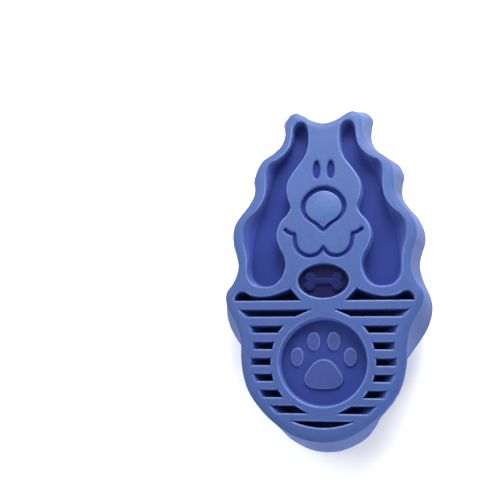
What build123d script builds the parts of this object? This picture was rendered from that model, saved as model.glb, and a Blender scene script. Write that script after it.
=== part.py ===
from build123d import *
import math
import os

# Palm-sized rubber curry brush for dogs: one soft moulding with an animal face on its back
# and long conical massage teeth underneath. It is divided at its natural regions, and every
# tooth is its own piece, because the teeth are what bends in use.
# Frame: +Z is the back (face side), +Y the ears, +X the animal's left ear, origin in the
# middle of the footprint, at the height of the tooth tips. "Right" in names and comments
# is +X, the right-hand side when looking down on the back.
# In the tables and sizes below, x and y are measured from the centre of the body medallion,
# and levels from the back face, so they are negative inside the moulding.

# ---------------------------------------------------------------- dimensions, mm
TOTAL_H = 28.5              # tooth tips to the back face
RIM_LEVEL = -17.5           # rim of the skirt
WEB_TOP = -9.5              # floor of the slots
WEB_BOTTOM = -12.5          # ceiling of the tooth side
LIP_LEVEL = -1.4            # where the sloping lip starts
LIP_INSET = 1.3             # how far the lip pulls in at the back face
WALL = 2.8                  # skirt wall
SPAN = 4                    # stations per wall face

MEDAL_R = 14.75             # round well of the medallion
MEDAL_RING = 2.9            # width of the ring round it
MEDAL_FLOOR = -4.2
COLLAR_OVAL = (8.7, 6.0)    # half width and half height of the oval well
COLLAR_OVAL_Y = 27.5
COLLAR_RING = 2.4           # width of the ring round it
COLLAR_FLOOR = -2.6
EAR_FLOOR = -6.0
EMBOSS = 0.8                # height of the raised emblems

GROOVE_DEPTH = 2.0          # nose and mouth grooves
MOUTH_WIDTH = 1.3
EYE_X, EYE_Y = 2.48, 66.8
EYE_OVAL = (1.25, 3.35)     # half width and half height
EYE_DEPTH = 1.4
SMILE_HALF_W = 10.2         # curved slot at the chin
SMILE_Y = -19.5             # its straight side
SMILE_DEPTH = 2.1           # bulge of its arc

# outline of the back face: x, y of the right half, from chin to brow
TOP = [
    (0, -26.4), (4.9, -25.9), (9.8, -24.3), (14.7, -21.3), (18.3, -18.4), (21.7, -14.8),
    (24.6, -10.7), (26.4, -6.4), (27.4, -1.9), (27.8, 2.0), (27.9, 5.9), (28.6, 9.8),
    (30.2, 13.8), (32.5, 17.7), (33.6, 21.3), (33.2, 24.1), (31.5, 26.4), (29.9, 29.9),
    (29.4, 33.9), (30.2, 37.9), (31.6, 42.4), (31.2, 47.2), (29.0, 51.0), (26.3, 54.5),
    (24.4, 58.5), (24.2, 62.7), (23.8, 66.8), (21.6, 70.8), (17.8, 73.5), (15.0, 76.4),
    (13.7, 80.4), (13.3, 84.5), (12.2, 87.3), (9.7, 88.2), (7.1, 87.0), (3.9, 85.1), (0, 84.1),
]
# outline of the skirt's rim: x, y, station for station with TOP
RIM = [
    (0, -29.6), (5, -29.0), (10, -26.9), (13.9, -24.2), (16.7, -20.3), (18.3, -15.8),
    (19.7, -11.2), (21.5, -6.6), (24.0, -2.2), (26.8, 1.4), (29.6, 5.2), (32.6, 9.2),
    (35.0, 13.2), (36.4, 17.4), (36.7, 21.2), (35.8, 25.0), (34.4, 28.4), (33.2, 32.0),
    (32.7, 35.6), (33.5, 39.6), (34.7, 43.4), (34.6, 47.6), (32.6, 52.4), (29.6, 56.2),
    (27.2, 60.0), (27.1, 64.4), (27.8, 68.4), (26.0, 72.6), (21.6, 75.8), (17.8, 79.0),
    (16.2, 82.6), (16.3, 86.4), (16.8, 90.6), (13.6, 93.9), (9.0, 92.6), (4.2, 90.4), (0, 89.2),
]
# deep well of the right ear: x, y round a closed curve
EAR = [
    (9.0, 84.2), (10.6, 81.7), (11.0, 78.6), (12.0, 75.6), (13.8, 73.0), (16.3, 71.0),
    (19.1, 69.6), (20.2, 66.8), (20.2, 63.6), (20.2, 60.4), (20.7, 57.3), (22.0, 54.4),
    (24.0, 52.0), (26.4, 49.9), (27.9, 47.2), (28.0, 44.1), (27.6, 40.9), (26.8, 37.9),
    (26.3, 34.7), (26.3, 31.6), (25.7, 28.5), (23.6, 26.2), (20.6, 25.5), (17.4, 25.8),
    (14.9, 27.7), (13.5, 30.5), (13.0, 33.6), (13.7, 36.7), (15.2, 39.4), (16.2, 42.4),
    (16.0, 45.6), (14.7, 48.5), (12.6, 50.9), (11.5, 53.7), (12.5, 56.7), (13.0, 59.8),
    (12.5, 62.9), (11.0, 65.7), (9.1, 68.3), (7.3, 70.8), (6.0, 73.7), (5.5, 76.8),
    (5.5, 80.0), (6.4, 83.0),
]
# slots between the ribs, right half, from the collar down:
# x, y of the upper inner, upper outer, lower outer and lower inner corner
SLOTS = [
    [(4.0, 17.6), (28.8, 17.6), (26.5, 15.2), (9.4, 15.2)],
    [(13.4, 12.1), (24.9, 12.1), (24.1, 9.7), (15.3, 9.7)],
    [(16.5, 6.6), (23.8, 6.6), (23.6, 4.2), (17.1, 4.2)],
    [(17.6, 1.2), (24.3, 1.2), (24.3, -1.2), (17.6, -1.2)],
    [(17.1, -4.1), (23.5, -4.1), (22.4, -6.5), (16.5, -6.5)],
    [(15.0, -9.4), (21.2, -9.4), (20.2, -11.8), (13.3, -11.8)],
    [(9.4, -14.5), (17.6, -14.5), (15.2, -17.0), (4.9, -17.0)],
]
# x of the outer end of each rib; rib i lies directly above slot i
RIB_ENDS = (29.0, 25.4, 24.0, 24.0, 23.9, 21.8, 17.9)
# arched slot above the top rib, right half: x, y of its corners
SHOULDER = [
    (7.5, 20.7), (9.2, 22.6), (11.2, 24.9), (13.6, 23.9), (17.2, 22.6), (21.2, 22.0),
    (24.8, 22.6), (27.0, 23.8), (28.8, 23.8), (30.2, 22.4), (30.5, 20.7),
]
# nose: x, y of the right half from the top to the point
NOSE_INNER = [
    (0, 59.3), (1.5, 59.07), (3.0, 58.45), (4.65, 57.25), (5.75, 55.65), (6.3, 53.9),
    (6.25, 52.4), (5.7, 51.0), (4.7, 49.75), (3.5, 48.85), (2.3, 48.1), (1.4, 47.3),
    (0.6, 46.5), (0, 46.2),
]
# outer edge of the groove round the nose, likewise
NOSE_OUTER = [
    (0, 60.75), (2.25, 60.45), (4.4, 59.4), (6.2, 57.75), (7.4, 55.75), (7.82, 53.85),
    (7.68, 52.2), (7.05, 50.7), (5.95, 49.25), (4.55, 48.15), (3.3, 47.3), (2.2, 46.4),
    (1.2, 45.3), (0.5, 44.8), (0, 44.68),
]
# centre line of the mouth groove: x, y of the right half
MOUTH = [
    (0, 38.95), (1.15, 37.4), (2.6, 36.4), (4.7, 36.05), (6.7, 36.6), (8.4, 37.9), (9.4, 39.6),
    (9.8, 41.5), (9.95, 43.0), (10.1, 43.7), (11.3, 44.1), (12.4, 44.7), (13.15, 45.35),
]

# borders of the regions of the back
COLLAR_TOP = 31.5
COLLAR_BOTTOM = SHOULDER[0][1]
COLLAR_HALF_W = 22.5
CHIN_TOP = SLOTS[-1][2][1]
CHIN_BOTTOM = -22.9
CHIN_HALF_W = 11.5
# face plate: x, y of the right half from the brow down to the collar
FACE = [
    (7.8, 81.5), (8.2, 77), (9.5, 74), (14, 67), (16, 60), (15.5, 54), (20, 46),
    (20, COLLAR_TOP),
]

# vertical reach of the cutting tools
CUT_BOTTOM = WEB_TOP - 1
VOID_TOP = 1
BLOCK_TOP = 2

# distance along y from the medallion centre to the middle of the footprint
Y_MID = (min(y for x, y in RIM) + max(y for x, y in RIM)) / 2


# ---------------------------------------------------------------- outlines
def height(level):
    return level + TOTAL_H


def place(point, level, side=1):
    """Point of a table in the frame; side -1 puts it on the left half."""
    return Vector(side * point[0], point[1] - Y_MID, height(level))


def mirrored(half):
    """Closed list of points from the right half of a symmetric outline."""
    return half + [(-x, y) for x, y in reversed(half) if x]


def unit(a, b):
    length = math.hypot(b[0] - a[0], b[1] - a[1])
    return (b[0] - a[0]) / length, (b[1] - a[1]) / length


def tangents(stations):
    """Unit tangents of the closed outline at the stations of its right half."""
    before = (-stations[1][0], stations[1][1])
    after = (-stations[-2][0], stations[-2][1])
    line = [before] + stations + [after]
    return [unit(line[i], line[i + 2]) for i in range(len(stations))]


def inset(stations, distance):
    """Stations moved inward along their normals, never across the middle line."""
    moved = [(max(x - distance * ty, 0.0), y + distance * tx)
             for (x, y), (tx, ty) in zip(stations, tangents(stations))]
    moved[0] = (0, stations[0][1] + distance)
    moved[-1] = (0, stations[-1][1] - distance)
    return moved


def wall_stations(level):
    """Stations of the outer wall between rim and lip."""
    t = (level - LIP_LEVEL) / (RIM_LEVEL - LIP_LEVEL)
    return [(a[0] + (b[0] - a[0]) * t, a[1] + (b[1] - a[1]) * t) for a, b in zip(TOP, RIM)]


def outline_wire(stations, level):
    """Wire through the stations of a right half and its mirror image.

    Every level uses the knots of TOP, so the walls run straight from station to station.
    """
    tangent = tangents(stations)
    right, left = [], []
    for first in range(0, len(stations) - 1, SPAN):
        last = first + SPAN
        part = stations[first:last + 1]
        run = [0.0]
        for j in range(first + 1, last + 1):
            run.append(run[-1] + math.dist(TOP[j], TOP[j - 1]))
        knots = [length / run[-1] for length in run]
        (ax, ay), (bx, by) = tangent[first], tangent[last]
        right.append(Edge.make_spline([place(p, level) for p in part],
                                      tangents=[Vector(ax, ay, 0), Vector(bx, by, 0)],
                                      parameters=knots))
        left.append(Edge.make_spline([place(p, level, -1) for p in part[::-1]],
                                     tangents=[Vector(bx, -by, 0), Vector(ax, -ay, 0)],
                                     parameters=[1 - k for k in knots][::-1]))
    return Wire(right + left[::-1])


# ---------------------------------------------------------------- basic solids
def ruled(lower, upper):
    return Solid.make_loft([lower, upper], ruled=True)


def raised(wire, z0, z1):
    return Solid.extrude(Face(wire), Vector(0, 0, z1 - z0))


def prism(points, z0, z1, side=1, spline=False):
    corners = [place(p, z0, side) for p in points]
    if spline:
        wire = Wire([Edge.make_spline(corners, periodic=True)])
    else:
        wire = Wire.make_polygon(corners, close=True)
    return raised(wire, z0, z1)


def box(x0, x1, y0, y1, z0, z1):
    return prism([(x0, y0), (x1, y0), (x1, y1), (x0, y1)], z0, z1)


def layer(z0, z1):
    """Box wider than the whole brush, for keeping one range of heights."""
    return box(-60, 60, -80, 120, z0, z1)


def disc(x, y, radius, z0, z1):
    return Pos(x, y - Y_MID, height(z0)) * Solid.make_cylinder(radius, z1 - z0)


def oval(x, y, half_w, half_h, z0, z1):
    turn = 90 if half_h > half_w else 0
    edge = Edge.make_ellipse(max(half_w, half_h), min(half_w, half_h))
    return raised(Wire([Pos(x, y - Y_MID, height(z0)) * Rot(0, 0, turn) * edge]), z0, z1)


def ribbon(half, width, z0, z1):
    """Prism of constant width along a symmetric centre line, given by its right half."""
    line = [(-x, y) for x, y in half[:0:-1]] + half
    upper, lower = [], []
    for i, (x, y) in enumerate(line):
        tx, ty = unit(line[max(i - 1, 0)], line[min(i + 1, len(line) - 1)])
        upper.append((x - width / 2 * ty, y + width / 2 * tx))
        lower.append((x + width / 2 * ty, y - width / 2 * tx))
    return prism(upper + lower[::-1], z0, z1)


# ---------------------------------------------------------------- booleans and files
def solid_list(shape):
    """Flat list of the solids in a shape or nested list, without slivers."""
    if shape is None:
        return []
    if isinstance(shape, (list, tuple)):
        return [s for item in shape for s in solid_list(item)]
    return [s for s in shape.solids() if s.bounding_box().diagonal > 0.8]


def cut(things, tools):
    tools = solid_list(tools)
    return solid_list([t.cut(*tools) for t in solid_list(things)])


def common(things, tool):
    return solid_list([t.intersect(k) for t in solid_list(things) for k in solid_list(tool)])


def split(things, block):
    """What lies inside the block, and what is left outside it."""
    return common(things, block), cut(things, block)


def write(name, shape):
    parts = solid_list(shape)
    body = parts[0] if len(parts) == 1 else Compound(children=parts)
    body.label = name
    export_step(body, f"parts/{name}.step")


os.makedirs("parts", exist_ok=True)

# ---------------------------------------------------------------- skirt and web
lip_wire = outline_wire(TOP, LIP_LEVEL)
outer = ruled(outline_wire(RIM, RIM_LEVEL), lip_wire).fuse(
    ruled(lip_wire, outline_wire(inset(TOP, LIP_INSET), 0)))
cavity = ruled(outline_wire(inset(RIM, WALL), RIM_LEVEL),
               outline_wire(inset(wall_stations(WEB_BOTTOM), WALL), WEB_BOTTOM))

skirt = cut(common(outer, layer(RIM_LEVEL - 1, WEB_BOTTOM)), cavity)
write("skirt_wall", skirt)
write("floor_web", common(outer, layer(WEB_BOTTOM, WEB_TOP)))


# ---------------------------------------------------------------- wells, slots and grooves
def smile_void():
    left = place((-SMILE_HALF_W, SMILE_Y), CUT_BOTTOM)
    right = place((SMILE_HALF_W, SMILE_Y), CUT_BOTTOM)
    lowest = place((0, SMILE_Y - SMILE_DEPTH), CUT_BOTTOM)
    wire = Wire([Edge.make_line(left, right), Edge.make_three_point_arc(right, lowest, left)])
    return raised(wire, CUT_BOTTOM, VOID_TOP)


voids = []
for side in (1, -1):
    voids.append(prism(EAR, CUT_BOTTOM, VOID_TOP, side, spline=True))
    for slot in [SHOULDER] + SLOTS:
        voids.append(prism(slot, CUT_BOTTOM, VOID_TOP, side))
    voids.append(oval(side * EYE_X, EYE_Y, *EYE_OVAL, -EYE_DEPTH, VOID_TOP))
voids.append(disc(0, 0, MEDAL_R, CUT_BOTTOM, VOID_TOP))
voids.append(oval(0, COLLAR_OVAL_Y, *COLLAR_OVAL, CUT_BOTTOM, VOID_TOP))
voids.append(smile_void())
voids.append(ribbon(MOUTH, MOUTH_WIDTH, -GROOVE_DEPTH, VOID_TOP))
back = cut(common(outer, layer(WEB_TOP, VOID_TOP)), voids)

# ---------------------------------------------------------------- regions of the back
# each region is taken out of what the ones before it have left
nose, back = split(back, prism(mirrored(NOSE_OUTER), CUT_BOTTOM, BLOCK_TOP, spline=True))
nose_groove = cut(prism(mirrored(NOSE_OUTER), -GROOVE_DEPTH, VOID_TOP, spline=True),
                  prism(mirrored(NOSE_INNER), -GROOVE_DEPTH - 1, BLOCK_TOP, spline=True))
write("nose_button", cut(nose, nose_groove))

medal_ring, back = split(back, disc(0, 0, MEDAL_R + MEDAL_RING, CUT_BOTTOM, BLOCK_TOP))

ring_oval = [half + COLLAR_RING for half in COLLAR_OVAL]
collar_ring, back = split(back, oval(0, COLLAR_OVAL_Y, *ring_oval, CUT_BOTTOM, BLOCK_TOP))
write("collar_ring", collar_ring)

face_plate, back = split(back, prism(mirrored(FACE), CUT_BOTTOM, BLOCK_TOP))
write("face_plate", face_plate)

rib_tops = [COLLAR_BOTTOM] + [slot[2][1] for slot in SLOTS[:-1]]
rib_bottoms = [slot[0][1] for slot in SLOTS]
for side, side_name in ((1, "right"), (-1, "left")):
    ribs = []
    for end, rib_top, rib_bottom in zip(RIB_ENDS, rib_tops, rib_bottoms):
        x0, x1 = sorted((0, side * end))
        rib, back = split(back, box(x0, x1, rib_bottom, rib_top, CUT_BOTTOM, BLOCK_TOP))
        ribs += rib
    write(f"grip_bars_{side_name}", ribs)

chin_bar, back = split(back, box(-CHIN_HALF_W, CHIN_HALF_W, CHIN_BOTTOM, CHIN_TOP,
                                 CUT_BOTTOM, BLOCK_TOP))
write("chin_bar", chin_bar)

collar_band, back = split(back, box(-COLLAR_HALF_W, COLLAR_HALF_W, COLLAR_BOTTOM, COLLAR_TOP,
                                    CUT_BOTTOM, BLOCK_TOP))
write("collar_band", collar_band)

# the small leftovers beside the medallion belong to its ring, the large one is the lip
*flanks, lip = sorted(back, key=lambda s: s.volume)
write("outer_lip", lip)
write("medallion_ring", medal_ring[0].fuse(*flanks))

# ---------------------------------------------------------------- recessed panels
write("medallion_panel", disc(0, 0, MEDAL_R, WEB_TOP, MEDAL_FLOOR))
write("collar_panel", oval(0, COLLAR_OVAL_Y, *COLLAR_OVAL, WEB_TOP, COLLAR_FLOOR))
write("ear_floors", [prism(EAR, WEB_TOP, EAR_FLOOR, side, spline=True) for side in (1, -1)])

# ---------------------------------------------------------------- emblems
# paw, pad first, then the toes: centre x, y, half width, half height
PAW = [
    (0, -4.2, 6.4, 5.2),
    (-9.0, 1.9, 2.35, 3.2), (-3.4, 7.2, 2.35, 3.2), (3.4, 7.2, 2.35, 3.2), (9.0, 1.9, 2.35, 3.2),
]
BONE_HALF_L, BONE_HALF_W = 4.4, 1.15    # shaft
KNOB_X, KNOB_Y, KNOB_R = 4.7, 1.55, 1.85    # knobs, from the middle of the bone

write("paw_emblem", [oval(*pad, MEDAL_FLOOR, MEDAL_FLOOR + EMBOSS) for pad in PAW])

bone_levels = (COLLAR_FLOOR, COLLAR_FLOOR + EMBOSS)
shaft = box(-BONE_HALF_L, BONE_HALF_L, COLLAR_OVAL_Y - BONE_HALF_W, COLLAR_OVAL_Y + BONE_HALF_W,
            *bone_levels)
knobs = [disc(sx * KNOB_X, COLLAR_OVAL_Y + sy * KNOB_Y, KNOB_R, *bone_levels)
         for sx in (1, -1) for sy in (1, -1)]
write("bone_emblem", shaft.fuse(*knobs))

# ---------------------------------------------------------------- teeth
ROOT_R = 5.0            # root where it meets the web
ROOT_TAPER = 0.5        # how much narrower it is at its lower end
ROOT_H = 2.3
BALL_R = 4.1            # round head of a tooth, centred on its bending line
BALL_GAP = 0.1          # between the head and its socket
TIP_R = 1.55
TIP_ROUND_H = 0.5       # round-over of the tip
TIP_ROUND_W = 0.4
TIP_ARC_MID = (TIP_R - 0.1, 0.12)    # radius and height of a point on the round-over
DIMPLE_R = 0.68         # conical dimple in the tip
DIMPLE_DEPTH = 0.45
PIVOT_Z = height(WEB_BOTTOM - BALL_GAP - BALL_R)
PITCH = 17.3            # along a row

# lengthwise rows, neighbours staggered by about half a pitch:
# name, side, y of the tooth nearest the chin, distance of each tooth from the middle line
INNER_X = (11.6, 13.2, 13.2, 13.2, 13.2, 9.9)
OUTER_X = (26.2, 24.6, 23.9)
TOOTH_ROWS = [
    ("centre", 1, -17.6, (0.0,) * 6),
    ("right_inner", 1, -9.2, INNER_X),
    ("left_inner", -1, -9.2, INNER_X),
    ("right_outer", 1, 16.4, OUTER_X),
    ("left_outer", -1, 16.4, OUTER_X),
]


def make_root():
    """Short cone under the web, hollowed for the head of the tooth."""
    cone = Solid.make_cone(ROOT_R - ROOT_TAPER, ROOT_R, ROOT_H)
    cone = Pos(0, 0, height(WEB_BOTTOM) - ROOT_H) * cone
    ball = Solid.make_sphere(BALL_R + BALL_GAP, angle1=-90, angle2=90, angle3=360)
    return cut(cone, Pos(0, 0, PIVOT_Z) * ball)[0]


def make_tooth():
    """Round head tapering to a small dimpled tip, turned about its axis."""
    diagonal = BALL_R * math.sqrt(0.5)
    head_top = Vector(0, 0, PIVOT_Z + BALL_R)
    head_mid = Vector(diagonal, 0, PIVOT_Z + diagonal)
    head_side = Vector(BALL_R, 0, PIVOT_Z)
    tip_side = Vector(TIP_R, 0, TIP_ROUND_H)
    tip_mid = Vector(TIP_ARC_MID[0], 0, TIP_ARC_MID[1])
    tip_flat = Vector(TIP_R - TIP_ROUND_W, 0, 0)
    dimple_edge = Vector(DIMPLE_R, 0, 0)
    dimple_top = Vector(0, 0, DIMPLE_DEPTH)
    profile = Wire([
        Edge.make_three_point_arc(head_top, head_mid, head_side),
        Edge.make_line(head_side, tip_side),
        Edge.make_three_point_arc(tip_side, tip_mid, tip_flat),
        Edge.make_line(tip_flat, dimple_edge),
        Edge.make_line(dimple_edge, dimple_top),
        Edge.make_line(dimple_top, head_top),
    ])
    return Solid.revolve(Face(profile), 360, Axis.Z)


root, tooth = make_root(), make_tooth()
roots = []
for row, side, first_y, distances in TOOTH_ROWS:
    for k, x in enumerate(distances):
        spot = Pos(side * x, first_y + PITCH * k - Y_MID, 0)
        # a root that reaches the skirt is cut off at its wall
        roots.append(cut(spot * root, skirt)[0])
        write(f"tooth_{row}_{k + 1}", spot * tooth)
write("tooth_roots", roots)
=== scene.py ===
"""Rubber grooming brush with an animal's face on its back, moulded in one piece.

It lies back up with the tips of its teeth on z = 0, the crown of the head towards +Y.
Shapes are drawn in millimetres in a design frame: x = 0 is the mirror line, y = 0 the centre
of the round medallion, and z = 0 the back, so that heights within the brush are negative.
"""
import math

import bmesh
import bpy
import numpy as np
import openvdb
from mathutils import Matrix, Vector


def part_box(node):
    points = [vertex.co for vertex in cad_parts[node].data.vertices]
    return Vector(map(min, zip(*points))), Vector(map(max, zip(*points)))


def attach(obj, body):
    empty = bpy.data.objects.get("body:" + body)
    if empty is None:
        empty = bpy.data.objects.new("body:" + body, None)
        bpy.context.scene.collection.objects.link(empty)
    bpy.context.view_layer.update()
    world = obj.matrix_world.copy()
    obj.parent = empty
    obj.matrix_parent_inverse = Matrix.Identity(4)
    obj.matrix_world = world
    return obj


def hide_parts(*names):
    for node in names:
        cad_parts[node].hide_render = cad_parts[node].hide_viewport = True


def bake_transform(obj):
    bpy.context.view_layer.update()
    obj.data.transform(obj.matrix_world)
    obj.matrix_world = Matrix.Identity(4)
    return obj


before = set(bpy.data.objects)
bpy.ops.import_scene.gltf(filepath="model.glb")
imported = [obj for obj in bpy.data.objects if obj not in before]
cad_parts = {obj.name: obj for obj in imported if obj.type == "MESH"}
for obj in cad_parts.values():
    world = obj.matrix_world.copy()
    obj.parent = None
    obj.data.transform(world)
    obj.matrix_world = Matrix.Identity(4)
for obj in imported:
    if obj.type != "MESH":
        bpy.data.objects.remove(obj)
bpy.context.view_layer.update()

MM = 0.001
BODY_CELL = 0.26       # grid of the body's surface, mm
DETAIL_CELL = 0.16    # grid of the small pieces, mm
TOOTH_SEGMENTS = 64

# ------------------------------------------------------------------ sizes, mm
TOTAL_H = 28.5                           # tooth tips to back
Y_MID = 32.15                            # design y at the frame's y = 0
RIM_Z, WEB_TOP, WEB_BOTTOM, LIP_Z = -17.5, -9.5, -12.5, -1.4
WALL_T = 2.8                             # skirt wall
LEVELS = 8                               # outlines from the lip down to the rim
LIP_W, LIP_SLOPE, LIP_CREASE = 2.1, 0.22, 0.25    # sloping border of the back
MEDAL_R, MEDAL_FLOOR = 14.75, -4.2
OVAL_A, OVAL_B, OVAL_Y, OVAL_FLOOR = 8.7, 6.0, 27.5, -2.6
EAR_FLOOR = -6.0
EYE_X, EYE_Y, EYE_A, EYE_B, EYE_FLOOR = 2.48, 66.8, 1.25, 3.35, -1.5
NOSE_FLOOR = -1.7
MOUTH_HALF_W, MOUTH_FLOOR = 0.60, -1.15
SMILE_HALF_W, SMILE_Y, SMILE_DROP = 10.2, -19.5, 2.1    # bowed slot near the -Y end
SLOT_END_SLOPE = 0.36
EMBOSS = 0.8                             # height of the paw and the bone

# Outlines are lists of (x, y). TOP, RIM, the nose and the mouth give the +x half.
TOP = [
    (0, -26.4), (4.9, -25.9), (9.8, -24.3), (14.7, -21.3), (18.3, -18.4), (21.7, -14.8),
    (24.6, -10.7), (26.4, -6.4), (27.4, -1.9), (27.8, 2.0), (27.9, 5.9), (28.6, 9.8),
    (30.2, 13.8), (32.5, 17.7), (33.6, 21.3), (33.2, 24.1), (31.5, 26.4), (29.9, 29.9),
    (29.4, 33.9), (30.2, 37.9), (31.6, 42.4), (31.2, 47.2), (29.0, 51.0), (26.3, 54.5),
    (24.4, 58.5), (24.2, 62.7), (23.8, 66.8), (21.6, 70.8), (17.8, 73.5), (15.0, 76.4),
    (13.7, 80.4), (13.3, 84.5), (12.2, 87.3), (9.7, 88.2), (7.1, 87.0), (3.9, 85.1), (0, 84.1)]
RIM = [
    (0, -29.6), (5, -29.0), (10, -26.9), (13.9, -24.2), (16.7, -20.3), (18.3, -15.8),
    (19.7, -11.2), (21.5, -6.6), (24.0, -2.2), (26.8, 1.4), (29.6, 5.2), (32.6, 9.2),
    (35.0, 13.2), (36.4, 17.4), (36.7, 21.2), (35.8, 25.0), (34.4, 28.4), (33.2, 32.0),
    (32.7, 35.6), (33.5, 39.6), (34.7, 43.4), (34.6, 47.6), (32.6, 52.4), (29.6, 56.2),
    (27.2, 60.0), (27.1, 64.4), (27.8, 68.4), (26.0, 72.6), (21.6, 75.8), (17.8, 79.0),
    (16.2, 82.6), (16.3, 86.4), (16.8, 90.6), (13.6, 93.9), (9.0, 92.6), (4.2, 90.4), (0, 89.2)]
# lip of the ear well
EAR = [
    (9.4, 84.5), (10.9, 82.4), (11.2, 79.0), (12.0, 75.6), (13.8, 73.0), (16.3, 71.0),
    (19.1, 69.6), (20.2, 66.8), (20.2, 63.6), (20.2, 60.4), (20.7, 57.3), (22.0, 54.4),
    (24.0, 52.0), (26.4, 49.9), (27.9, 47.2), (28.0, 44.1), (27.6, 40.9), (26.8, 37.9),
    (26.3, 34.7), (26.3, 31.6), (25.7, 28.5), (23.6, 26.2), (20.6, 25.5), (17.4, 25.8),
    (14.9, 27.7), (13.5, 30.5), (13.0, 33.6), (13.7, 36.7), (15.2, 39.4), (16.2, 42.4),
    (16.0, 45.6), (14.7, 48.5), (12.6, 50.9), (11.5, 53.7), (12.5, 56.7), (13.0, 59.8),
    (12.5, 62.9), (11.0, 65.7), (9.1, 68.3), (7.3, 70.8), (6.0, 73.7), (5.5, 76.8),
    (5.5, 80.0), (5.9, 82.8), (7.3, 84.5)]
# foot of the ear well's wall, smoother than its scalloped lip
EAR_FOOT = [
    (9.2, 83.7), (10.5, 81.9), (10.9, 78.7), (11.9, 75.9), (13.4, 73.6), (15.0, 71.4),
    (16.6, 69.2), (17.8, 66.6), (18.8, 63.6), (19.8, 60.4), (20.8, 57.3), (21.7, 54.4),
    (22.6, 51.6), (23.4, 48.8), (24.1, 46.0), (24.7, 43.2), (25.2, 40.4), (25.5, 37.6),
    (25.7, 34.7), (25.6, 31.6), (24.9, 28.9), (23.0, 27.0), (20.6, 26.3), (17.6, 26.6),
    (15.4, 28.2), (14.0, 30.7), (13.5, 33.6), (14.2, 36.5), (15.6, 39.2), (16.6, 42.4),
    (16.4, 45.8), (15.1, 48.8), (13.0, 51.2), (12.0, 53.7), (12.9, 56.6), (13.4, 59.8),
    (12.9, 63.1), (11.4, 66.0), (9.5, 68.6), (7.7, 71.1), (6.4, 73.9), (5.9, 76.8),
    (5.8, 79.9), (6.3, 82.3), (7.5, 83.7)]
# corners of each slot: inner and outer on its +Y side, then outer and inner on its -Y side
SLOTS = [
    [(4.0, 17.6), (28.8, 17.6), (26.5, 15.2), (9.4, 15.2)],
    [(13.4, 12.1), (24.9, 12.1), (24.1, 9.7), (15.3, 9.7)],
    [(16.5, 6.6), (23.8, 6.6), (23.6, 4.2), (17.1, 4.2)],
    [(17.6, 1.2), (24.3, 1.2), (24.3, -1.2), (17.6, -1.2)],
    [(17.1, -4.1), (23.5, -4.1), (22.4, -6.5), (16.5, -6.5)],
    [(15.0, -9.4), (21.2, -9.4), (20.2, -11.8), (13.3, -11.8)],
    [(9.4, -14.5), (17.6, -14.5), (15.2, -17.0), (4.9, -17.0)]]
# arched pocket between the first slot and the ear well: a straight edge, then a curve
SHOULDER_EDGE = [(7.5, 20.7), (9.2, 22.6)]
SHOULDER_CURVE = [
    (11.2, 24.9), (13.6, 23.9), (17.2, 22.6), (21.2, 22.0), (24.8, 22.6), (27.0, 23.8),
    (28.8, 23.8), (30.2, 22.4), (30.5, 20.7)]
NOSE_IN = [
    (0, 59.3), (1.5, 59.07), (3.0, 58.45), (4.65, 57.25), (5.75, 55.65), (6.3, 53.9),
    (6.25, 52.4), (5.7, 51.0), (4.7, 49.75), (3.5, 48.85), (2.3, 48.1), (1.4, 47.3),
    (0.6, 46.5), (0, 46.0)]
NOSE_OUT = [
    (0, 60.75), (2.25, 60.45), (4.4, 59.4), (6.2, 57.75), (7.4, 55.75), (7.82, 53.85),
    (7.68, 52.2), (7.05, 50.7), (5.95, 49.25), (4.55, 48.15), (3.3, 47.3), (2.2, 46.4),
    (1.2, 45.3), (0.5, 44.75), (0, 44.6)]
MOUTH = [
    (0, 38.95), (0.25, 38.6), (1.15, 37.4), (2.6, 36.4), (4.7, 36.05), (6.7, 36.6),
    (8.4, 37.9), (9.4, 39.6), (9.8, 41.5), (9.95, 43.0), (10.05, 43.75)]
MOUTH_TICK = [(10.05, 43.75), (11.3, 44.1), (12.4, 44.7), (13.15, 45.35)]

# Teeth: radius grows evenly with height between two stations
TOOTH_LOW_R, TOOTH_LOW_Z = 1.55, 0.55    # z above the tips
TOOTH_HIGH_R, TOOTH_HIGH_Z = 4.1, 11.8
TOOTH_FOOT_ROUND = 1.5
TOOTH_TIP_R, TOOTH_TIP_ROUND = 1.53, 0.5
# recess in the tip: radius, z above the tips
TOOTH_RECESS = [(0.94, 0.012), (0.86, 0.05), (0.82, 0.14), (0.76, 0.26),
                (0.6, 0.36), (0.3, 0.4), (0.02, 0.41)]

# ------------------------------------------------------------------ outlines
MIRROR = (-1, 1)


def spline(points, before, after, steps):
    """Catmull-Rom curve through the points, given the point beyond either end."""
    p = np.vstack([before, points, after])
    t = np.linspace(0, 1, steps, endpoint=False)[:, None]
    spans = [0.5 * (2 * b + (c - a) * t + (2 * a - 5 * b + 4 * c - d) * t ** 2
                    + (3 * b - a - 3 * c + d) * t ** 3)
             for a, b, c, d in zip(p, p[1:], p[2:], p[3:])]
    return np.vstack(spans + [points[-1:]])


def closed_curve(points, steps=5):
    p = np.array(points, float)
    return spline(np.vstack([p, p[:1]]), p[-1], p[1], steps)[:-1]


def open_curve(points, steps=6):
    p = np.array(points, float)
    return spline(p, 2 * p[0] - p[1], 2 * p[-1] - p[-2], steps)


def half_curve(points, steps=8):
    """The +x half of a mirrored outline, smooth across the mirror line."""
    p = np.array(points, float)
    return spline(p, p[1] * MIRROR, p[-2] * MIRROR, steps)


def nose_outline(points, steps=6):
    """Closed outline from its +x half, round at the +Y end and pointed at the -Y end."""
    p = np.array(points, float)
    half = spline(p, p[1] * MIRROR, 2 * p[-1] - p[-2], steps)
    return np.vstack([half, half[-2:0:-1] * MIRROR])


def ellipse(cx, cy, a, b, count=96):
    t = np.linspace(0, 2 * math.pi, count, endpoint=False)
    return np.stack([cx + a * np.cos(t), cy + b * np.sin(t)], 1)


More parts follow.
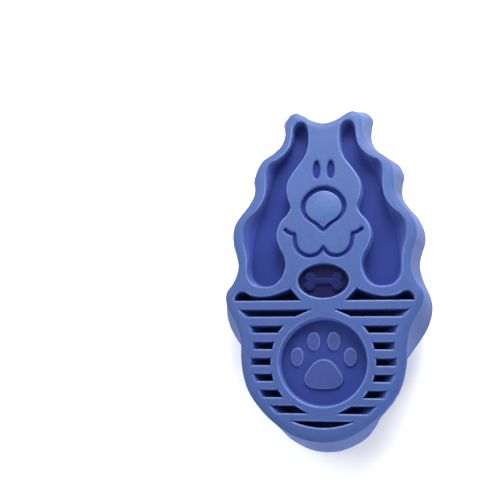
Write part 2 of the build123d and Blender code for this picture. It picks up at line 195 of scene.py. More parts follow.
def distance(grid_x, grid_y, points, closed=True, signed=True):
    """Distance from the grid to a polyline, negative inside it when signed.

    An open polyline can be signed if it closes off the grid against x = 0.
    """
    starts = np.asarray(points, np.float32)
    stops = np.roll(starts, -1, 0) if closed else starts[1:]
    best = np.full(grid_x.shape, 1e9, np.float32)
    inside = np.zeros(grid_x.shape, bool)
    row_y = grid_y[0]
    for (ax, ay), (bx, by) in zip(starts, stops):
        dx, dy = bx - ax, by - ay
        square = dx * dx + dy * dy
        if square < 1e-12:
            continue
        t = np.clip(((grid_x - ax) * dx + (grid_y - ay) * dy) / square, 0, 1)
        np.minimum(best, (grid_x - ax - t * dx) ** 2 + (grid_y - ay - t * dy) ** 2, out=best)
        rows = (row_y >= min(ay, by)) & (row_y < max(ay, by))
        if signed and rows.any():
            crossing = ax + (row_y[rows] - ay) * dx / dy
            inside[:, rows] ^= grid_x[:, rows] < crossing[None, :]
    best = np.sqrt(best)
    return np.where(inside, -best, best)


def round_max(a, b, radius):
    """Intersection of two distance fields with a round along the edge."""
    a, b = a + radius, b + radius
    return (np.minimum(np.maximum(a, b), 0)
            + np.hypot(np.maximum(a, 0), np.maximum(b, 0)) - radius)


def soft_max(a, b, width):
    h = np.maximum(width - np.abs(a - b), 0) / width
    return np.maximum(a, b) + h * h * width * 0.25


def soft_min(a, b, width):
    return -soft_max(-a, -b, width)


def smoothstep(x, start, end):
    t = np.clip((x - start) / (end - start), 0, 1)
    return t * t * (3 - 2 * t)


# ------------------------------------------------------------------ meshes from distance fields
def axis_points(low, high, cell):
    return np.arange(math.floor(low / cell), math.ceil(high / cell) + 1, dtype=np.float32) * cell


def between(pair, t):
    return pair[0] * (1 - t) + pair[1] * t


def settle(points, volume, cell):
    """Moves mesh points, in grid units, on to the zero level in two short steps."""
    for _ in range(2):
        base = np.clip(np.floor(points).astype(int), 0, np.array(volume.shape) - 2)
        i, j, k = base.T
        u, v, w = (points - base).T
        corners = np.array([[[volume[i + a, j + b, k + c] for c in (0, 1)]
                             for b in (0, 1)] for a in (0, 1)])
        lines = between(corners, u)
        ends = between(lines, v)
        value = between(ends, w)
        slope_x = between(between(corners[1] - corners[0], v), w)
        slope_y = between(lines[1] - lines[0], w)
        slope_z = ends[1] - ends[0]
        square = slope_x * slope_x + slope_y * slope_y + slope_z * slope_z + 1e-6
        reach = np.clip(value / square, -1.5 * cell, 1.5 * cell)[:, None]
        step = reach * np.stack([slope_x, slope_y, slope_z], 1)
        length = np.linalg.norm(step, axis=1, keepdims=True)
        points -= step * np.minimum(1, 0.45 / np.maximum(length, 1e-9)) * 0.8


def read_vectors(items, key):
    flat = np.zeros(len(items) * 3, np.float32)
    items.foreach_get(key, flat)
    return flat.reshape(-1, 3)


def set_attribute(mesh, name, values):
    attribute = mesh.attributes.get(name) or mesh.attributes.new(name, "FLOAT", "POINT")
    attribute.data.foreach_set("value", values.astype(np.float32))


def set_even_attribute(mesh, name, value):
    set_attribute(mesh, name, np.full(len(mesh.vertices), value))


def link_object(name, mesh):
    obj = bpy.data.objects.new(name, mesh)
    bpy.context.scene.collection.objects.link(obj)
    return obj


def grid_surface(name, slices, origin, cell, mirror=False):
    """Object from the zero level of a stack of slices; origin is in frame mm."""
    volume = np.stack(slices, 2).astype(np.float32)
    if mirror:
        volume = np.concatenate([volume[:0:-1], volume], 0)
    band = 4 * cell
    np.clip(volume, -band, band, out=volume)
    grid = openvdb.FloatGrid(band)
    grid.copyFromArray(np.ascontiguousarray(volume))
    points, tris, quads = grid.convertToPolygons(0.0, 0.0)
    points = points.astype(np.float64)
    settle(points, volume, cell)
    points = (points * cell + np.array(origin)).astype(np.float32)

    mesh = bpy.data.meshes.new(name)
    corners = np.concatenate([quads.ravel(), tris.ravel()]).astype(np.int32)
    tri_starts = len(quads) * 4 + np.arange(len(tris)) * 3
    starts = np.concatenate([np.arange(len(quads)) * 4, tri_starts]).astype(np.int32)
    mesh.vertices.add(len(points))
    mesh.vertices.foreach_set("co", (points * MM).ravel())
    mesh.loops.add(len(corners))
    mesh.loops.foreach_set("vertex_index", corners)
    mesh.polygons.add(len(starts))
    mesh.polygons.foreach_set("loop_start", starts)
    mesh.update(calc_edges=True)
    mesh.validate()
    # the highest face has to look up; if it doesn't, the mesh is inside out
    highest = np.argmax(read_vectors(mesh.polygons, "center")[:, 2])
    if read_vectors(mesh.polygons, "normal")[highest, 2] < 0:
        mesh.flip_normals()
    mesh.shade_smooth()
    add_edge_attribute(mesh, cell)
    return link_object(name, mesh)


def add_edge_attribute(mesh, cell, rounds=3):
    """Stores as 'edge' how convex (1) or hollow (0) the surface is; flat is 0.5."""
    count = len(mesh.vertices)
    points = read_vectors(mesh.vertices, "co").astype(np.float64) / MM
    normals = read_vectors(mesh.vertices, "normal")
    pairs = np.zeros(len(mesh.edges) * 2, np.int32)
    mesh.edges.foreach_get("vertices", pairs)
    first, second = pairs.reshape(-1, 2).T
    neighbours = np.bincount(pairs, minlength=count).astype(float)
    neighbours[neighbours == 0] = 1

    def neighbour_mean(v):
        total = (np.bincount(first, weights=v[second], minlength=count)
                 + np.bincount(second, weights=v[first], minlength=count))
        return total / neighbours

    offset = np.stack([neighbour_mean(points[:, i]) for i in range(3)], 1) - points
    bend = -(offset * normals).sum(1) / (cell * cell) * 4
    for _ in range(rounds):
        bend = 0.5 * bend + 0.5 * neighbour_mean(bend)
    set_attribute(mesh, "edge", np.clip(0.5 + 0.25 * bend, 0, 1))


# ------------------------------------------------------------------ body
plan_xs = axis_points(0, 38.2, BODY_CELL)
plan_ys = axis_points(-31.2, 95.6, BODY_CELL)
body_zs = axis_points(-19.0, 1.2, BODY_CELL)
PLAN_X, PLAN_Y = np.meshgrid(plan_xs, plan_ys, indexing="ij")


def plan_distance(points, **how):
    return distance(PLAN_X, PLAN_Y, points, **how)


def slot_end_distance(slot):
    """Distance beyond the line of a slot's outer edge, measured outwards."""
    (ax, ay), (bx, by) = slot[1], slot[2]
    length = math.hypot(bx - ax, by - ay)
    normal_x, normal_y = -(by - ay) / length, (bx - ax) / length
    if normal_x < 0:
        normal_x, normal_y = -normal_x, -normal_y
    return (PLAN_X - ax) * normal_x + (PLAN_Y - ay) * normal_y


top_curve, rim_curve = half_curve(TOP), half_curve(RIM)
outlines = np.stack([plan_distance(top_curve + (rim_curve - top_curve) * t, closed=False)
                     for t in np.linspace(0, 1, LEVELS)])
ear_lip = plan_distance(closed_curve(EAR))
ear_foot = plan_distance(closed_curve(EAR_FOOT))
shoulder = plan_distance(np.vstack([SHOULDER_EDGE, open_curve(SHOULDER_CURVE, 5)]))
slots = [plan_distance(slot) for slot in SLOTS]
slot_ends = [slot_end_distance(slot) for slot in SLOTS]
medal = np.hypot(PLAN_X, PLAN_Y) - MEDAL_R
oval = plan_distance(ellipse(0, OVAL_Y, OVAL_A, OVAL_B))
eye = plan_distance(ellipse(EYE_X, EYE_Y, EYE_A, EYE_B, 64))
nose_well = plan_distance(nose_outline(NOSE_OUT))
mouth_line = np.minimum(*(plan_distance(open_curve(part), closed=False, signed=False)
                          for part in (MOUTH, MOUTH_TICK)))
bow = np.linspace(1, -1, 40)
smile = plan_distance(
    np.stack([SMILE_HALF_W * bow, SMILE_Y - SMILE_DROP * (1 - bow ** 2)], 1))

# plain wells and openings: distance field, draft of the wall, floor height, round at the floor
WELLS = [
    (shoulder, 0.03, WEB_TOP, 0.5),
    (medal, 0.06, MEDAL_FLOOR, 0.5),
    (oval, 0.06, OVAL_FLOOR, 0.45),
    (eye, 0.10, EYE_FLOOR, 0.45),
    (smile, 0.02, WEB_TOP, 0.3),
    (mouth_line - MOUTH_HALF_W, 0.0, MOUTH_FLOOR, 0.45),
    (nose_well, 0.0, NOSE_FLOOR, 0.55)]
EAR_ROUND = 0.6
SLOT_DRAFT, SLOT_ROUND = 0.02, 0.4
WALL_DRAFT = 0.02
# rounds: outer edge of the back, corner of skirt and web, rim, lips of the wells
LIP_ROUND, WEB_ROUND, RIM_ROUND, WELL_LIP_ROUND = 0.55, 1.3, 1.15, 0.62

# the back is flat up to a faint crease, then falls to its outer edge
crease_offset = LIP_W - np.clip(-outlines[0], 0, None)
lip_fall = LIP_SLOPE * 0.5 * (np.hypot(crease_offset, LIP_CREASE) + crease_offset)


def body_void(z):
    """Everything sunk into the back, at height z."""
    depth = max(-z, 0)
    part = min(depth / -EAR_FLOOR, 1)
    void = round_max(ear_lip * (1 - part) + ear_foot * part, EAR_FLOOR - z, EAR_ROUND)
    for slot, end in zip(slots, slot_ends):
        sides = np.maximum(slot + SLOT_DRAFT * depth, end + SLOT_END_SLOPE * depth)
        void = np.minimum(void, round_max(sides, WEB_TOP - z, SLOT_ROUND))
    for field, draft, floor_z, radius in WELLS:
        void = np.minimum(void, round_max(field + draft * depth, floor_z - z, radius))
    return void


def body_slice(z):
    level = min(max((LIP_Z - z) / (LIP_Z - RIM_Z), 0), 1) * (LEVELS - 1)
    i = min(int(level), LEVELS - 2)
    outside = between(outlines[i:i + 2], level - i)
    solid = round_max(outside, z + lip_fall, LIP_ROUND)
    wall = outside + WALL_T + WALL_DRAFT * max(z - RIM_Z, 0)
    hollow = round_max(wall, z - WEB_BOTTOM, WEB_ROUND)
    solid = np.maximum(solid, -hollow)
    solid = round_max(solid, RIM_Z - z, RIM_ROUND)
    if z < WEB_TOP - 2:
        return solid
    return soft_max(solid, -body_void(z), WELL_LIP_ROUND)


body = grid_surface(
    "brush_moulding", [body_slice(float(z)) for z in body_zs],
    (-plan_xs[-1], plan_ys[0] - Y_MID, body_zs[0] + TOTAL_H), BODY_CELL, mirror=True)


# ------------------------------------------------------------------ small pieces on the back
def small_piece(name, x_range, y_range, z_range, plan, field):
    """A piece on its own fine grid, full width; field turns plan distances into a slice."""
    px, py, pz = (axis_points(*ends, DETAIL_CELL) for ends in (x_range, y_range, z_range))
    grid_x, grid_y = np.meshgrid(px, py, indexing="ij")
    flat = plan(grid_x, grid_y)
    slices = [field(flat, grid_x, grid_y, float(z)) for z in pz]
    return grid_surface(name, slices, (px[0], py[0] - Y_MID, pz[0] + TOTAL_H), DETAIL_CELL)


DOME_DROP, DOME_Y, DOME_R, DOME_STRETCH = 0.95, 53.2, 7.0, 0.95
NOSE_DRAFT, NOSE_ROUND, NOSE_BOTTOM = 0.06, 0.36, -2.8


def nose_plan(grid_x, grid_y):
    return distance(grid_x, grid_y, nose_outline(NOSE_IN))


def nose_field(flat, grid_x, grid_y, z):
    radius = np.hypot(grid_x, (grid_y - DOME_Y) * DOME_STRETCH) / DOME_R
    dome = DOME_DROP * np.clip(radius, 0, 1) ** 2
    face = round_max(flat + NOSE_DRAFT * max(-z, 0), z + dome, NOSE_ROUND)
    return np.maximum(face, NOSE_BOTTOM - z)


RELIEF_DRAFT, RELIEF_BURIED = 0.18, 0.6
RELIEF_FOOT_W, RELIEF_FOOT_H = 0.35, 0.16    # soft flare where it meets the floor


def relief(name, x_range, y_range, floor_z, shapes, merge, edge_round):
    """Flat emblem raised from a well's floor; shapes melt together over the merge width."""
    def plan(grid_x, grid_y):
        joined = distance(grid_x, grid_y, shapes[0])
        for shape in shapes[1:]:
            joined = soft_min(joined, distance(grid_x, grid_y, shape), merge)
        return joined

    def field(flat, grid_x, grid_y, z):
        side = flat + RELIEF_DRAFT * (z - floor_z)
        foot = RELIEF_FOOT_W * math.exp(-max(z - floor_z, 0) / RELIEF_FOOT_H)
        top = z - (floor_z + EMBOSS)
        return np.maximum(round_max(side - foot, top, edge_round), floor_z - RELIEF_BURIED - z)

    return small_piece(name, x_range, y_range, (floor_z - 1.2, floor_z + 1.6), plan, field)


PAD_A, PAD_B, PAD_Y, PAD_LOBES = 6.4, 5.1, -4.4, 0.10
TOE_A, TOE_B = 2.35, 3.2
TOE_PLACES = [(-9.0, 1.9), (-3.4, 7.2), (3.4, 7.2), (9.0, 1.9)]
BONE_X, BONE_Y, KNOB_X, KNOB_Y, KNOB_R = 4.5, 1.1, 4.7, 1.55, 1.85


def pad_outline():
    """Three-lobed pad of the paw."""
    t = np.linspace(0, 2 * math.pi, 96, endpoint=False)
    r = 1 + PAD_LOBES * np.cos(3 * t + math.pi / 2)
    return np.stack([PAD_A * r * np.cos(t), PAD_Y + PAD_B * r * np.sin(t)], 1)


nose = small_piece("nose_face", (-7.6, 7.6), (44.8, 60.6), (-3.4, 0.8), nose_plan, nose_field)
toes = [ellipse(x, y, TOE_A, TOE_B, 48) for x, y in TOE_PLACES]
paw = relief("paw_relief", (-13, 13), (-11.5, 12), MEDAL_FLOOR,
             [pad_outline()] + toes, merge=0.05, edge_round=0.34)
bar = [(sx * BONE_X, OVAL_Y + sy * BONE_Y) for sx, sy in ((-1, -1), (1, -1), (1, 1), (-1, 1))]
knobs = [ellipse(sx * KNOB_X, OVAL_Y + sy * KNOB_Y, KNOB_R, KNOB_R, 40)
         for sx in (1, -1) for sy in (1, -1)]
bone = relief("bone_relief", (-8, 8), (22.3, 32.7), OVAL_FLOOR,
              [bar] + knobs, merge=0.6, edge_round=0.3)


# ------------------------------------------------------------------ teeth
def tooth_profile():
    """(radius, z) from the flared foot down to the recess in the tip."""
    web_z = TOTAL_H + WEB_BOTTOM
    foot, tip = TOOTH_FOOT_ROUND, TOOTH_TIP_ROUND

    def radius_at(z):
        rise = (TOOTH_HIGH_R - TOOTH_LOW_R) * (z - TOOTH_LOW_Z)
        return TOOTH_LOW_R + rise / (TOOTH_HIGH_Z - TOOTH_LOW_Z)

    profile = []
    foot_r = radius_at(web_z - foot * 0.8)
    for a in np.linspace(0, math.radians(78), 9):
        flare = 1 - math.sin(a)
        profile.append((foot_r + foot * flare + 0.5 * flare ** 2,
                        web_z + 0.05 - foot * (1 - math.cos(a))))
    for z in np.linspace(profile[-1][1] - 0.4, 0.75, 22):
        profile.append((radius_at(z), z))
    for a in np.linspace(math.radians(12), math.radians(84), 6):
        profile.append((TOOTH_TIP_R - tip + tip * math.cos(a), 0.02 + tip - tip * math.sin(a)))
    return np.array(profile + TOOTH_RECESS)


def plan_index(x, y):
    """Nearest points of the body's plan grid to places in frame mm."""
    column = np.round(np.abs(x) / BODY_CELL).astype(int)
    row = np.round((y + Y_MID - plan_ys[0]) / BODY_CELL).astype(int)
    return np.clip(column, 0, len(plan_xs) - 1), np.clip(row, 0, len(plan_ys) - 1)


def outline_level(z):
    """Nearest of the outlines to design heights."""
    level = (LIP_Z - z) / (LIP_Z - RIM_Z) * (LEVELS - 1)
    return np.clip(np.round(level).astype(int), 0, LEVELS - 1)


def keep_in_skirt(x, y, z, cx, cy, margin=1.3, lowest=9):
    """Draws a foot in towards its tooth's axis where it would come through the skirt."""
    level = outline_level(z - TOTAL_H)
    scale = np.ones(len(x))
    for _ in range(24):
        column, row = plan_index(cx + (x - cx) * scale, cy + (y - cy) * scale)
        through = (outlines[level, column, row] > -margin) & (z > lowest)
        scale = np.where(through, scale * 0.975, scale)
    return cx + (x - cx) * scale, cy + (y - cy) * scale


def make_tooth(name, profile, cx, cy):
    """The profile turned about the vertical axis at (cx, cy) and closed at both ends."""
    segments, rings = TOOTH_SEGMENTS, len(profile)
    radii, heights = profile.T
    t = np.linspace(0, 2 * math.pi, segments, endpoint=False)
    points = np.stack([np.outer(radii, np.cos(t)), np.outer(radii, np.sin(t)),
                       np.repeat(heights[:, None], segments, 1)], 2).reshape(-1, 3)
    points = np.vstack([points, [(0, 0, heights[0] + 0.3)]]) + (cx, cy, 0)
    points[:, 0], points[:, 1] = keep_in_skirt(*points.T, cx, cy)
    apex = rings * segments
    faces = []
    for i in range(rings - 1):
        upper, lower = i * segments, (i + 1) * segments
        for j in range(segments):
            k = (j + 1) % segments
            faces.append((upper + j, upper + k, lower + k, lower + j))
    faces.append(tuple(range(apex - segments, apex)))
    faces += [(apex, (j + 1) % segments, j) for j in range(segments)]

    mesh = bpy.data.meshes.new(name)
    mesh.from_pydata((points * MM).tolist(), [], faces)
    mesh.validate()
    mesh.update()
    mesh.shade_smooth()
    edit = bmesh.new()
    edit.from_mesh(mesh)
    bmesh.ops.recalc_face_normals(edit, faces=edit.faces)
    edit.to_mesh(mesh)
    edit.free()
    return link_object(name, mesh)


teeth = []
for name in sorted(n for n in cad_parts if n.startswith("tooth_") and n != "tooth_roots"):
    low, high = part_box(name)
    cx, cy = (low.x + high.x) / 2 / MM, (low.y + high.y) / 2 / MM
    teeth.append((name, cx, cy, make_tooth(name + "_skin", tooth_profile(), cx, cy)))


# ------------------------------------------------------------------ painted shade
def add_painted_shade_attribute(mesh):
    """Stores as a point attribute the shade painted on each point, by how deep it lies in a
    well, a slot or under the web.

    Also evens out 'edge' around the thin grooves, whose painted edge highlights and crease shade
    are weaker.
    """
    points = read_vectors(mesh.vertices, "co") / MM
    z = points[:, 2] - TOTAL_H
    depth = -z
    at = plan_index(points[:, 0], points[:, 1])
    back = z > WEB_TOP - 0.8
    openings = np.minimum.reduce(slots + [shoulder, smile])
    in_slot = back & (openings[at] < 0.35)
    on_web = back & ~in_slot
    mouth = mouth_line - 0.7
    grooves = np.minimum(np.minimum(mouth, nose_well), eye)
    # points, depth where it starts, depth where it is full, full value; later rows win
    zones = [(in_slot, 0.3, 2.4, 0.80)]
    for slot, end in zip(slots, slot_ends):    # sloping ends get less painted shade
        at_end = (slot[at] < 0.4) & (end[at] + SLOT_END_SLOPE * depth > -0.45) & in_slot
        zones.append((at_end, 0.3, 2.4, 0.5))
    zones += [
        (on_web & (ear_lip[at] < 0.5), 0.3, 4.0, 0.66),
        (on_web & (medal[at] < 0.4), 0.3, 2.4, 0.60),
        (back & (oval[at] < 0.4), 0.2, 1.8, 1.0),
        (back & (grooves[at] < 0.3), 0.05, 0.42, 0.76)]
    shelter = np.zeros(len(points))
    for zone, start, full, amount in zones:
        shelter = np.where(zone, smoothstep(depth, start, full) * amount, shelter)

    borders = np.minimum(np.minimum(mouth, np.abs(nose_well)), np.abs(eye))
    soft = (borders[at] < 0.8) & (z > -2.4)
    edge = np.zeros(len(points), np.float32)
    mesh.attributes["edge"].data.foreach_get("value", edge)
    set_attribute(mesh, "edge", np.where(soft, 0.5 + (edge - 0.5) * 0.45, edge))

    # painted shade on the skirt's inside under the web, none at the rim, growing towards the web
    inner = outlines[(outline_level(z), *at)] + WALL_T
    under = (z < WEB_BOTTOM + 1.4) & (z > RIM_Z + 0.8) & (inner < 0.7)
    under_web_shade = 0.70 * smoothstep(z, RIM_Z + 0.8, RIM_Z + 3.0)
    set_attribute(mesh, "shelter", np.where(under, under_web_shade, shelter))


add_painted_shade_attribute(body.data)


# ------------------------------------------------------------------ rubber
def srgb(*channels):
    """Linear colour from 0-255 sRGB channels."""
    parts = (c / 255 for c in channels)
    return tuple(c / 12.92 if c <= 0.04045 else ((c + 0.055) / 1.055) ** 2.4
                 for c in parts) + (1,)


def scaled(colour, factor):
    return tuple(min(c * factor, 1) for c in colour[:3]) + (1,)


BASE = srgb(50, 75, 127)
SPECK_AND_CREASE_SHADE = srgb(22, 28, 80)                  # dark specks, and painted shade in hollows
SHADE = srgb(28, 42, 108)                # painted shade for sunk surfaces
DARKEST_SHADE = srgb(18, 20, 60)                 # painted shade for the deepest surfaces
PAINTED_HIGHLIGHT = srgb(119, 144, 212)               # painted highlights on edges and painted sheen seen edge-on
PAINTED_WALL_LIGHT = srgb(54, 68, 142)               # painted light on the wells' walls
CHIN_SHADE = (0.78, 0.76, 0.90, 1)             # painted shade, darker towards the -Y end


class Shader:
    """Adds nodes to a tree. Inputs are values or sockets; _ in a name stands for a space."""

    def __init__(self, tree):
        self.tree = tree

    def feed(self, socket, value):
        if isinstance(value, bpy.types.NodeSocket):
            self.tree.links.new(value, socket)
        else:
            socket.default_value = value

    def add(self, kind, **inputs):
        made = self.tree.nodes.new(kind)
        for name, value in inputs.items():
            self.feed(made.inputs[name.replace("_", " ")], value)
        return made

    def attribute(self, name):
        made = self.add("ShaderNodeAttribute")
        made.attribute_name = name
        return made.outputs["Fac"]

    def noise(self, place, scale, detail, roughness):
        return self.add("ShaderNodeTexNoise", Vector=place, Scale=scale, Detail=detail,
                        Roughness=roughness).outputs["Fac"]

    def ramp(self, value, over, to=(0.0, 1.0), kind="SMOOTHSTEP"):
        made = self.add("ShaderNodeMapRange", Value=value, From_Min=over[0], From_Max=over[1],
                        To_Min=to[0], To_Max=to[1])
        made.interpolation_type = kind
        return made.outputs["Result"]

    def maths(self, operation, *values):
        made = self.add("ShaderNodeMath")
        made.operation = operation
        for i, value in enumerate(values):
            self.feed(made.inputs[i], value)
        return made.outputs[0]

    def mix(self, factor, first, second, blend="MIX"):
        made = self.add("ShaderNodeMix")
        made.data_type = "RGBA"
        made.blend_type = blend
        for i, value in ((0, factor), (6, first), (7, second)):
            self.feed(made.inputs[i], value)
        return made.outputs[2]

    def separate(self, vector):
        return self.add("ShaderNodeSeparateXYZ", Vector=vector).outputs


def paint_well_light_and_shade(shader, colour, along, shelter):
    """Paints shade on sheltered surfaces and paints light on the wells' walls to keep them
    violet-blue.
    """
    ramp, maths, mix = shader.ramp, shader.maths, shader.mix
    colour = mix(ramp(shelter, over=(0.0, 0.8)), colour, SHADE)
    colour = mix(ramp(shelter, over=(0.75, 1.0)), colour, DARKEST_SHADE)
    facing = shader.separate(shader.add("ShaderNodeNewGeometry").outputs["Normal"])["Z"]
    wall_light = maths("MULTIPLY", ramp(facing, over=(0.92, 0.45)), ramp(shelter, over=(0.06, 0.22)))
    wall_light = maths("MULTIPLY", wall_light, ramp(shelter, over=(0.76, 0.66)))
    upward = ramp(facing, over=(-0.3, 0.05), to=(0.0, 0.8))
    colour = mix(maths("MULTIPLY", wall_light, upward), colour, PAINTED_WALL_LIGHT)
    # painted light: the shadowed narrow +Y ends of the ear wells are as blue on their floors
    ear_end_light = maths("MULTIPLY", ramp(along, over=(0.034, 0.055)),
                     ramp(shelter, over=(0.15, 0.5)))
    return mix(ear_end_light, colour, PAINTED_WALL_LIGHT)


def rubber_bumps(shader, place, flow):
    """Moulded grain, slight waviness and, if asked, faint flow marks."""
    grain = shader.noise(place, scale=5200, detail=2.0, roughness=0.6)
    waves = shader.noise(place, scale=850, detail=2.0, roughness=0.5)
    bump = shader.add("ShaderNodeBump", Strength=0.10, Distance=0.00008, Height=grain)
    bump = shader.add("ShaderNodeBump", Strength=0.14, Distance=0.00025, Height=waves,
                      Normal=bump.outputs[0])
    if flow:
        stretched = shader.add("ShaderNodeMapping", Scale=(0.30, 1.0, 1.0), Vector=place)
        bands = shader.add("ShaderNodeTexWave", Scale=70.0, Distortion=6.0, Detail=3.0,
                           Detail_Scale=1.6, Vector=stretched.outputs[0])
        bands.bands_direction = "Y"
        marks = shader.ramp(bands.outputs["Fac"], over=(0.80, 1.0))
        bump = shader.add("ShaderNodeBump", Strength=0.10, Distance=0.0002, Height=marks,
                          Normal=bump.outputs[0])
    return bump.outputs[0]


def rubber(name, base, highlight_colour=PAINTED_HIGHLIGHT, well=False, root=False, flow=False, roughness=0.5,
           edge_highlight_amount=0.55):
    """Moulded rubber: cloudy colour, fine grain, painted highlights on convex edges, painted
    shade in hollows.

    well and root paint shade from the painted-shade attribute, for the sunk parts of the back
    and for teeth.
    """
    material = bpy.data.materials.new(name)
    material.use_nodes = True
    material.node_tree.nodes.clear()
    shader = Shader(material.node_tree)
    ramp, maths, mix = shader.ramp, shader.maths, shader.mix
    place = shader.add("ShaderNodeTexCoord").outputs["Object"]

    cloud = shader.noise(place, scale=60, detail=4.0, roughness=0.6)
    mottle = shader.noise(place, scale=420, detail=3.0, roughness=0.6)
    speck = shader.noise(place, scale=2600, detail=2.0, roughness=0.5)
    colour = mix(ramp(cloud, over=(0.35, 0.65)), base, scaled(base, 0.90))
    colour = mix(ramp(mottle, over=(0.3, 0.75), to=(0.0, 0.38)), colour, scaled(base, 1.14))
    colour = mix(ramp(speck, over=(0.35, 0.8), to=(0.0, 0.24)), colour, SPECK_AND_CREASE_SHADE)
    if well:
        along = shader.separate(place)["Y"]
        # painted shade, darker towards the -Y end
        chin = ramp(along, over=(0.045, -0.025), to=(0.0, 0.70))
        colour = mix(chin, colour, CHIN_SHADE, blend="MULTIPLY")

    edge = shader.attribute("edge")
    # painted highlight along convex edges, patchy
    convex = ramp(edge, over=(0.62, 0.92))
    hollow = ramp(edge, over=(0.46, 0.22))
    patches = shader.noise(place, scale=900, detail=3.0, roughness=0.6)
    edge_highlight = maths("MULTIPLY", convex, ramp(patches, over=(0.25, 0.7), to=(0.45, 0.85)))
    # painted shade in hollows and creases
    colour = mix(maths("MULTIPLY", hollow, 0.55), colour, SPECK_AND_CREASE_SHADE)
    colour = mix(maths("MULTIPLY", edge_highlight, edge_highlight_amount), colour, highlight_colour)
    if well:
        shelter = shader.attribute("shelter")
        colour = paint_well_light_and_shade(shader, colour, along, shelter)
    if root:
        # painted shade on the teeth from their attribute
        colour = mix(ramp(shader.attribute("shelter"), over=(0.0, 0.8)), colour, SHADE)

    # thin painted sheen where the surface is seen edge-on
    glancing = shader.add("ShaderNodeLayerWeight", Blend=0.32).outputs["Facing"]
    painted_sheen = maths("MULTIPLY", ramp(glancing, over=(0.25, 1.0)),
                  ramp(cloud, over=(0.3, 0.7), to=(0.22, 0.46)))
    colour = mix(painted_sheen, colour, highlight_colour)
    rough = ramp(mottle, over=(0.3, 0.7), to=(roughness - 0.04, roughness + 0.05))
    rough = maths("ADD", rough, maths("MULTIPLY", edge_highlight, -0.06))
    gloss = ramp(glancing, over=(0.30, 0.85), to=(0.30, 0.03))
    if well:
        gloss = maths("MULTIPLY", gloss, ramp(shelter, over=(0.1, 0.9), to=(1.0, 0.16)))
    surface = shader.add(
        "ShaderNodeBsdfPrincipled", Base_Color=colour, Roughness=rough,
        Specular_IOR_Level=gloss, Sheen_Weight=0.03, Sheen_Roughness=0.55,
        Sheen_Tint=(0.75, 0.82, 1.0, 1), Normal=rubber_bumps(shader, place, flow))
    shader.add("ShaderNodeOutputMaterial", Surface=surface.outputs[0])
    return material


body_rubber = rubber("moulded_rubber_body", BASE, well=True)
nose_rubber = rubber("moulded_rubber_nose", srgb(54, 81, 132), flow=True, roughness=0.46)
paw_rubber = rubber("moulded_rubber_paw", srgb(38, 55, 114), edge_highlight_amount=0.34)
bone_rubber = rubber("moulded_rubber_bone", BASE, highlight_colour=srgb(60, 78, 146), well=True,
                     edge_highlight_amount=0.30)
teeth_rubber = rubber("moulded_rubber_teeth", srgb(58, 88, 148), root=True)
set_even_attribute(bone.data, "shelter", 0.93)    # painted shade: the bone lies deep in the oval

BODY_NODES = [
    "skirt_wall", "floor_web", "outer_lip", "face_plate", "ear_floors", "collar_band",
    "collar_ring", "collar_panel", "medallion_ring", "medallion_panel", "grip_bars_right",
    "grip_bars_left", "chin_bar", "tooth_roots"]
for obj, material, nodes in ((body, body_rubber, BODY_NODES),
                             (nose, nose_rubber, ["nose_button"]),
                             (paw, paw_rubber, ["paw_emblem"]),
                             (bone, bone_rubber, ["bone_emblem"])):
    obj.data.materials.append(material)
    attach(obj, "moulding")
    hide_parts(*nodes)
for name, cx, cy, obj in teeth:
    obj.data.materials.append(teeth_rubber)
    set_even_attribute(obj.data, "edge", 0.5)
    heights = read_vectors(obj.data.vertices, "co")[:, 2] / MM
    # painted shade on the teeth, darker towards the web
    set_attribute(obj.data, "shelter", 0.70 * smoothstep(heights, 8.0, 15.4))
    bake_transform(obj)
    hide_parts(name)

# ------------------------------------------------------------------ floor and world
FLOOR_BOUNCE = 0.60                      # share of the floor's colour seen by other rays
FLOOR_GLOW = (0.05, 0.30)                # emission near the brush and away from it; the weaker glow near the brush paints a soft shadow
GLOW_RADII = (0.040, 0.064)              # m, ellipse the glow is measured by
WORLD_LIGHT, WORLD_SEEN = 0.58, 0.95     # strength as light and as seen by the camera


def floor_material():
    """White paper that glows to the camera away from the brush, less near it as a painted soft
    shadow, and is clear from below.
    """
    material = bpy.data.materials.new("floor_paper")
    material.use_nodes = True
    tree = material.node_tree
    shader = Shader(tree)
    paper = tree.nodes["Principled BSDF"]
    paper.inputs["Roughness"].default_value = 0.9
    mottle = shader.add("ShaderNodeTexNoise", Scale=300.0).outputs["Fac"]
    white = shader.ramp(mottle, over=(0.0, 1.0), to=(0.90, 0.93), kind="LINEAR")
    seen = shader.add("ShaderNodeLightPath").outputs["Is Camera Ray"]
    bounce = shader.ramp(seen, over=(0.0, 1.0), to=(FLOOR_BOUNCE, 1.0), kind="LINEAR")
    shader.feed(paper.inputs["Base Color"], shader.maths("MULTIPLY", white, bounce))

    place = shader.add("ShaderNodeTexCoord").outputs["Object"]
    shrunk = shader.add("ShaderNodeMapping", Vector=place,
                        Scale=(1 / GLOW_RADII[0], 1 / GLOW_RADII[1], 0.0))
    radius = shader.add("ShaderNodeVectorMath", Vector=shrunk.outputs[0])
    radius.operation = "LENGTH"
    glow = shader.ramp(radius.outputs["Value"], over=(0.80, 1.9), to=FLOOR_GLOW)
    paper.inputs["Emission Color"].default_value = (1, 1, 1, 1)
    shader.feed(paper.inputs["Emission Strength"], shader.maths("MULTIPLY", seen, glow))

    below = shader.add("ShaderNodeNewGeometry").outputs["Backfacing"]
    clear = shader.add("ShaderNodeBsdfTransparent")
    sides = shader.add("ShaderNodeMixShader")
    for i, socket in enumerate((below, paper.outputs[0], clear.outputs[0])):
        tree.links.new(socket, sides.inputs[i])
    tree.links.new(sides.outputs[0], tree.nodes["Material Output"].inputs["Surface"])
    return material


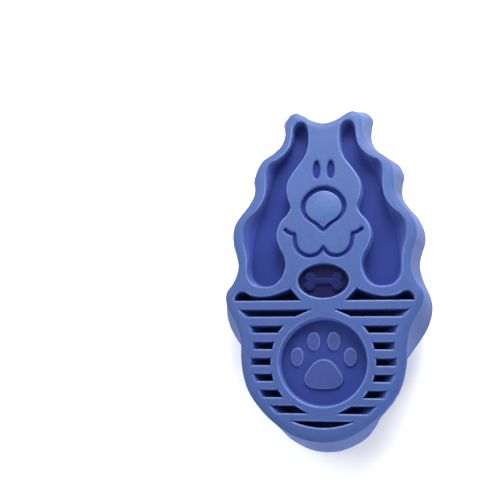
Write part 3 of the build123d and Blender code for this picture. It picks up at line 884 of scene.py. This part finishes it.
bpy.context.scene.view_settings.view_transform = "Standard"
bpy.ops.mesh.primitive_plane_add(size=6.0, location=(0, 0, -0.0004))
floor = bpy.context.object
floor.name = "floor"
floor.data.materials.append(floor_material())

world = bpy.data.worlds.new("studio")
bpy.context.scene.world = world
world.use_nodes = True
sky = Shader(world.node_tree)
background = world.node_tree.nodes["Background"]
background.inputs["Color"].default_value = (0.93, 0.96, 1.0, 1)
seen = sky.add("ShaderNodeLightPath").outputs["Is Camera Ray"]
sky.feed(background.inputs["Strength"],
         sky.ramp(seen, over=(0.0, 1.0), to=(WORLD_LIGHT, WORLD_SEEN), kind="LINEAR"))


# ------------------------------------------------------------------ lights
def area_light(name, place, target, size, power, colour):
    light = bpy.data.lights.new(name, "AREA")
    light.shape = "DISK"
    light.size = size
    light.energy = power
    light.color = colour
    obj = link_object(name, light)
    obj.location = place
    aim = Vector(target) - Vector(place)
    obj.rotation_euler = aim.to_track_quat("-Z", "Y").to_euler()
    return obj


area_light("key", place=(0.06, 0.28, 0.22), target=(0, 0.02, 0.02), size=0.22, power=2.45,
           colour=(1.0, 0.985, 0.97))
area_light("side", place=(0.36, -0.48, 0.20), target=(0, 0, 0.015), size=0.30, power=2.9,
           colour=(1.0, 0.97, 0.95))
area_light("fill", place=(-0.6, 0.3, 0.9), target=(0, 0, 0.02), size=0.9, power=7.0,
           colour=(0.92, 0.96, 1.0))

# lamps below the floor show the tooth side; the floor doesn't stop their light
not_the_floor = bpy.data.collections.new("not_the_floor")
not_the_floor.objects.link(floor)
under_lamps = [
    area_light("under_key", place=(-0.14, -0.20, -0.50), target=(0, 0, 0.01), size=0.22,
               power=6.0, colour=(1.0, 0.985, 0.97)),
    area_light("under_fill", place=(0.05, 0.32, -0.45), target=(0, 0, 0.01), size=0.4,
               power=3.4, colour=(0.94, 0.97, 1.0))]
for lamp in under_lamps:
    lamp.visible_glossy = False
    lamp.light_linking.blocker_collection = not_the_floor
for member in not_the_floor.collection_objects:
    member.light_linking.link_state = "EXCLUDE"

# ------------------------------------------------------------------ camera
# pose of the design frame as the camera sees it: x right, y down, z away
VIEW_TURN = (-12.59, 10.51, -1.04)       # degrees about x, y, z
VIEW_SHIFT = (24.09, 37.09, 298.97)      # mm, place of the design origin
FLIP_YZ = np.diag([1, -1, -1])


def turn(i, j, degrees):
    """Rotation that carries axis i towards axis j."""
    angle = math.radians(degrees)
    matrix = np.eye(3)
    matrix[i, i] = matrix[j, j] = math.cos(angle)
    matrix[j, i] = math.sin(angle)
    matrix[i, j] = -math.sin(angle)
    return matrix


turn_x, turn_y, turn_z = VIEW_TURN
view = turn(0, 1, turn_z) @ turn(2, 0, turn_y) @ turn(1, 2, turn_x) @ FLIP_YZ
eye_place = (-view.T @ np.array(VIEW_SHIFT) + np.array([0, -Y_MID, TOTAL_H])) * MM
axes = view.T @ FLIP_YZ
lens = bpy.data.cameras.new("camera")
lens.sensor_width = 36.0
lens.lens = 64.8
lens.clip_start = 0.01
camera = link_object("camera", lens)
camera.matrix_world = Matrix([[*axes[i], eye_place[i]] for i in range(3)] + [[0, 0, 0, 1]])
bpy.context.scene.camera = camera
